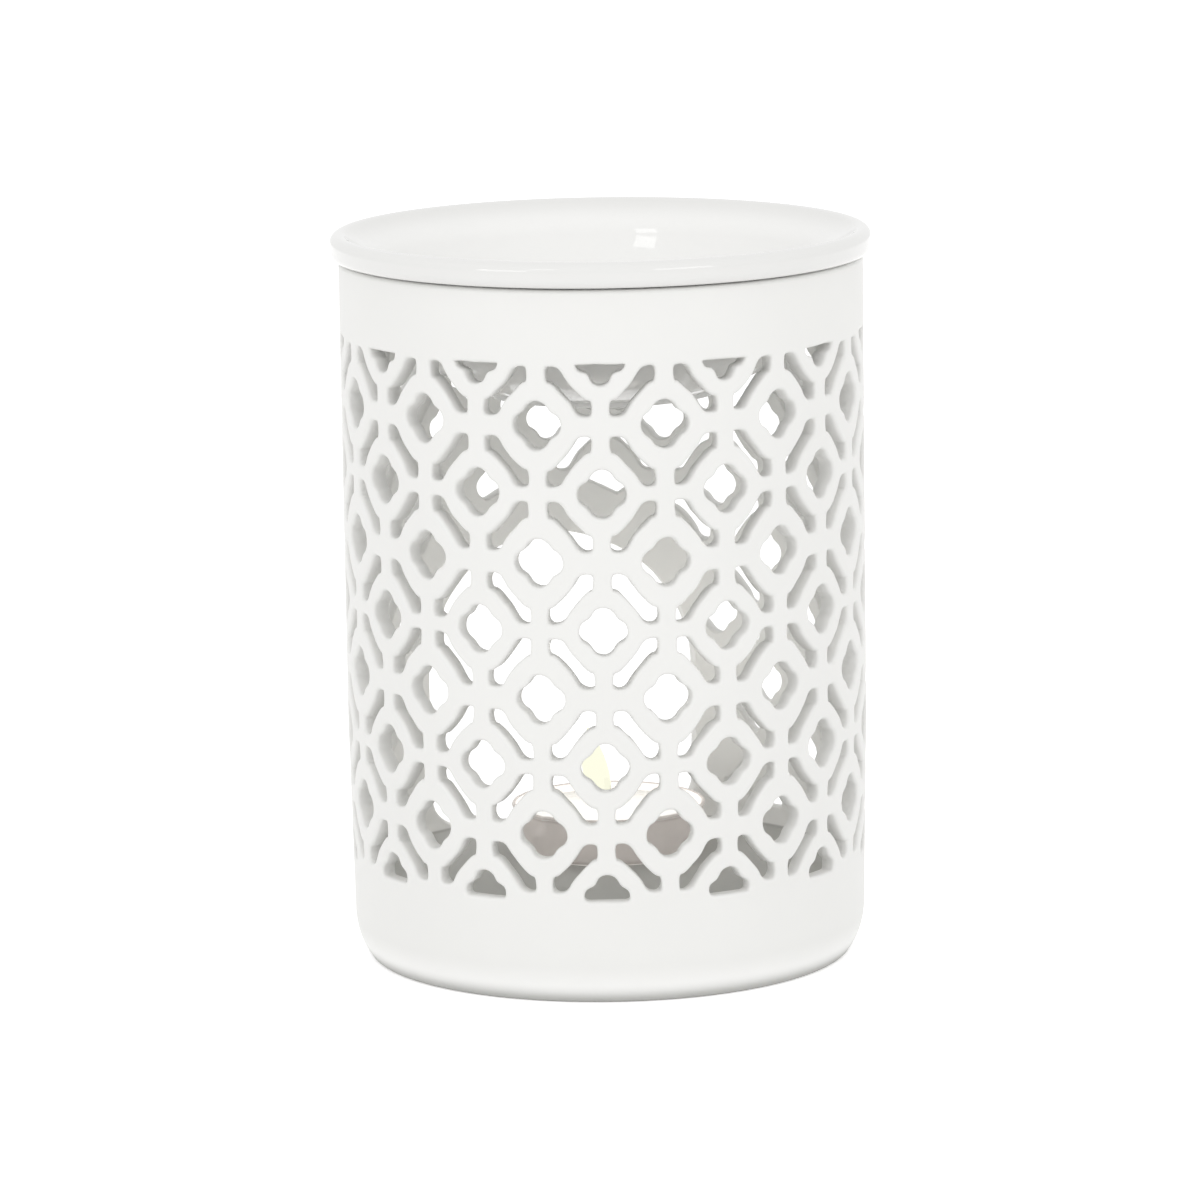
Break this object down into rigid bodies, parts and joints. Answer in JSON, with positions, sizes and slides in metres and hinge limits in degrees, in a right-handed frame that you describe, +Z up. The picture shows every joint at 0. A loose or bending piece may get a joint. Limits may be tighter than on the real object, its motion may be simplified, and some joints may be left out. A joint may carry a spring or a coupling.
{
  "type": "oil burner",
  "caption": "Round pierced ceramic oil burner with a lift-out bowl, an arched opening at the back and a tea light on its floor.",
  "frame": {"origin": "on the body's axis, at the bottom of its foot, where it rests", "axes": "+Z up, +Y out through the arched opening at the back, +X to the right seen from the front"},
  "size_m": [0.1036, 0.1036, 0.1402],
  "materials": {
    "matt_ceramic": "matt white",
    "glazed_ceramic": "glossy white glaze",
    "cup_aluminium": "thin pressed foil",
    "candle_wax": "soft translucent wax",
    "wick_cotton": "charred cotton",
    "sustainer_tin": "tin plate"
  },
  "bodies": {
    "burner": {"burner_body": "matt_ceramic"},
    "dish": {"dish": "glazed_ceramic"},
    "tealight": {"tealight_cup": "cup_aluminium", "tealight_wax": "candle_wax", "wick": "wick_cotton", "wick_sustainer": "sustainer_tin"}
  },
  "joints": [
    {"name": "dish_lift", "type": "slide", "parent": "burner", "child": "dish", "axis": [0, 0, 1], "range_m": [0, 0.05]},
    {"name": "tealight_slide", "type": "slide", "parent": "burner", "child": "tealight", "axis": [-0.1156, 0.9933, 0], "range_m": [-0.042, 0.056]}
  ]
}
